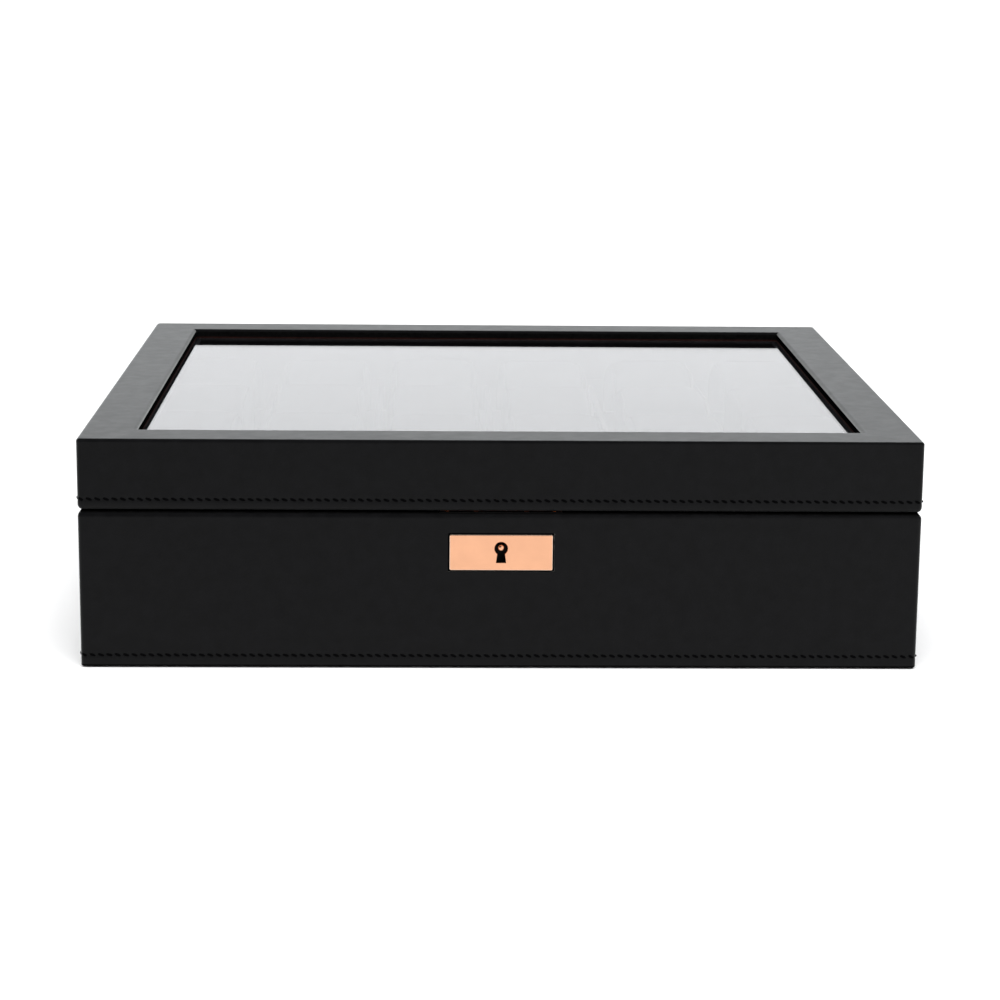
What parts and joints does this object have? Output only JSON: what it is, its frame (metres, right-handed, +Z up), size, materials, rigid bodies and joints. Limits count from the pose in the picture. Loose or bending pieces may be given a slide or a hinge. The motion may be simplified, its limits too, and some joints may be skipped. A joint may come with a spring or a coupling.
{
  "type": "watch box",
  "caption": "Lockable leather-covered watch box with a hinged glass-topped lid over a grid of divided compartments, each holding a removable watch cushion.",
  "frame": {"origin": "centre of the felt underside, on the surface that the box stands on", "axes": "+X to the right of a person facing the lock, +Y from the lock to the hinges, +Z up"},
  "size_m": [0.4, 0.3822, 0.111],
  "materials": {
    "black_leather": "satin",
    "charcoal_suede": "matte",
    "cushion_leather": "satin",
    "black_felt": "matte",
    "fibreboard": "matte",
    "foam": "matte",
    "rose_gold": "polished",
    "steel": "satin",
    "window_glass": "polished"
  },
  "bodies": {
    "base": {"base_felt_pad": "black_felt", "base_floor_board": "fibreboard", "base_front_board": "fibreboard", "base_back_board": "fibreboard", "base_left_board": "fibreboard", "base_right_board": "fibreboard", "base_leather_wrap": "black_leather", "base_foam_riser": "foam", "base_lining": "charcoal_suede", "long_divider_1": "charcoal_suede", "long_divider_2": "charcoal_suede", "long_divider_3": "charcoal_suede", "cross_divider_1": "charcoal_suede", "cross_divider_2": "charcoal_suede", "cross_divider_3": "charcoal_suede", "cross_divider_4": "charcoal_suede", "cross_divider_5": "charcoal_suede", "lock_plate": "rose_gold", "lock_case": "steel", "lock_pin": "rose_gold", "hinge_left_base_leaf": "rose_gold", "hinge_right_base_leaf": "rose_gold", "hinge_left_pin": "steel", "hinge_right_pin": "steel"},
    "lid": {"lid_front_board": "fibreboard", "lid_back_board": "fibreboard", "lid_left_board": "fibreboard", "lid_right_board": "fibreboard", "lid_top_frame": "fibreboard", "lid_glass": "window_glass", "lid_leather_wrap": "black_leather", "lid_lining": "charcoal_suede", "lid_strike": "rose_gold", "hinge_left_lid_leaf": "rose_gold", "hinge_right_lid_leaf": "rose_gold"},
    "lock_bolt": {"lock_bolt": "steel"},
    "pillow_row1_column1": {"pillow_row1_column1": "cushion_leather"},
    "pillow_row1_column2": {"pillow_row1_column2": "cushion_leather"},
    "pillow_row1_column3": {"pillow_row1_column3": "cushion_leather"},
    "pillow_row1_column4": {"pillow_row1_column4": "cushion_leather"},
    "pillow_row1_column5": {"pillow_row1_column5": "cushion_leather"},
    "pillow_row1_column6": {"pillow_row1_column6": "cushion_leather"},
    "pillow_row2_column1": {"pillow_row2_column1": "cushion_leather"},
    "pillow_row2_column2": {"pillow_row2_column2": "cushion_leather"},
    "pillow_row2_column3": {"pillow_row2_column3": "cushion_leather"},
    "pillow_row2_column4": {"pillow_row2_column4": "cushion_leather"},
    "pillow_row2_column5": {"pillow_row2_column5": "cushion_leather"},
    "pillow_row2_column6": {"pillow_row2_column6": "cushion_leather"},
    "pillow_row3_column1": {"pillow_row3_column1": "cushion_leather"},
    "pillow_row3_column2": {"pillow_row3_column2": "cushion_leather"},
    "pillow_row3_column3": {"pillow_row3_column3": "cushion_leather"},
    "pillow_row3_column4": {"pillow_row3_column4": "cushion_leather"},
    "pillow_row3_column5": {"pillow_row3_column5": "cushion_leather"},
    "pillow_row3_column6": {"pillow_row3_column6": "cushion_leather"},
    "pillow_row4_column1": {"pillow_row4_column1": "cushion_leather"},
    "pillow_row4_column2": {"pillow_row4_column2": "cushion_leather"},
    "pillow_row4_column3": {"pillow_row4_column3": "cushion_leather"},
    "pillow_row4_column4": {"pillow_row4_column4": "cushion_leather"},
    "pillow_row4_column5": {"pillow_row4_column5": "cushion_leather"},
    "pillow_row4_column6": {"pillow_row4_column6": "cushion_leather"}
  },
  "joints": [
    {"name": "lid_hinge", "type": "hinge", "parent": "base", "child": "lid", "pos_m": [0, 0.19105, 0.0765], "axis": [-1, 0, 0], "range_deg": [0, 95]},
    {"name": "lock_bolt_slide", "type": "slide", "parent": "base", "child": "lock_bolt", "axis": [1, 0, 0], "range_m": [0, 0.004]},
    {"name": "pillow_row1_column1_lift", "type": "slide", "parent": "base", "child": "pillow_row1_column1", "axis": [0, 0, 1], "range_m": [0, 0.0055]},
    {"name": "pillow_row1_column2_lift", "type": "slide", "parent": "base", "child": "pillow_row1_column2", "axis": [0, 0, 1], "range_m": [0, 0.0055]},
    {"name": "pillow_row1_column3_lift", "type": "slide", "parent": "base", "child": "pillow_row1_column3", "axis": [0, 0, 1], "range_m": [0, 0.0055]},
    {"name": "pillow_row1_column4_lift", "type": "slide", "parent": "base", "child": "pillow_row1_column4", "axis": [0, 0, 1], "range_m": [0, 0.0055]},
    {"name": "pillow_row1_column5_lift", "type": "slide", "parent": "base", "child": "pillow_row1_column5", "axis": [0, 0, 1], "range_m": [0, 0.0055]},
    {"name": "pillow_row1_column6_lift", "type": "slide", "parent": "base", "child": "pillow_row1_column6", "axis": [0, 0, 1], "range_m": [0, 0.0055]},
    {"name": "pillow_row2_column1_lift", "type": "slide", "parent": "base", "child": "pillow_row2_column1", "axis": [0, 0, 1], "range_m": [0, 0.0055]},
    {"name": "pillow_row2_column2_lift", "type": "slide", "parent": "base", "child": "pillow_row2_column2", "axis": [0, 0, 1], "range_m": [0, 0.0055]},
    {"name": "pillow_row2_column3_lift", "type": "slide", "parent": "base", "child": "pillow_row2_column3", "axis": [0, 0, 1], "range_m": [0, 0.0055]},
    {"name": "pillow_row2_column4_lift", "type": "slide", "parent": "base", "child": "pillow_row2_column4", "axis": [0, 0, 1], "range_m": [0, 0.0055]},
    {"name": "pillow_row2_column5_lift", "type": "slide", "parent": "base", "child": "pillow_row2_column5", "axis": [0, 0, 1], "range_m": [0, 0.0055]},
    {"name": "pillow_row2_column6_lift", "type": "slide", "parent": "base", "child": "pillow_row2_column6", "axis": [0, 0, 1], "range_m": [0, 0.0055]},
    {"name": "pillow_row3_column1_lift", "type": "slide", "parent": "base", "child": "pillow_row3_column1", "axis": [0, 0, 1], "range_m": [0, 0.0055]},
    {"name": "pillow_row3_column2_lift", "type": "slide", "parent": "base", "child": "pillow_row3_column2", "axis": [0, 0, 1], "range_m": [0, 0.0055]},
    {"name": "pillow_row3_column3_lift", "type": "slide", "parent": "base", "child": "pillow_row3_column3", "axis": [0, 0, 1], "range_m": [0, 0.0055]},
    {"name": "pillow_row3_column4_lift", "type": "slide", "parent": "base", "child": "pillow_row3_column4", "axis": [0, 0, 1], "range_m": [0, 0.0055]},
    {"name": "pillow_row3_column5_lift", "type": "slide", "parent": "base", "child": "pillow_row3_column5", "axis": [0, 0, 1], "range_m": [0, 0.0055]},
    {"name": "pillow_row3_column6_lift", "type": "slide", "parent": "base", "child": "pillow_row3_column6", "axis": [0, 0, 1], "range_m": [0, 0.0055]},
    {"name": "pillow_row4_column1_lift", "type": "slide", "parent": "base", "child": "pillow_row4_column1", "axis": [0, 0, 1], "range_m": [0, 0.0055]},
    {"name": "pillow_row4_column2_lift", "type": "slide", "parent": "base", "child": "pillow_row4_column2", "axis": [0, 0, 1], "range_m": [0, 0.0055]},
    {"name": "pillow_row4_column3_lift", "type": "slide", "parent": "base", "child": "pillow_row4_column3", "axis": [0, 0, 1], "range_m": [0, 0.0055]},
    {"name": "pillow_row4_column4_lift", "type": "slide", "parent": "base", "child": "pillow_row4_column4", "axis": [0, 0, 1], "range_m": [0, 0.0055]},
    {"name": "pillow_row4_column5_lift", "type": "slide", "parent": "base", "child": "pillow_row4_column5", "axis": [0, 0, 1], "range_m": [0, 0.0055]},
    {"name": "pillow_row4_column6_lift", "type": "slide", "parent": "base", "child": "pillow_row4_column6", "axis": [0, 0, 1], "range_m": [0, 0.0055]}
  ]
}
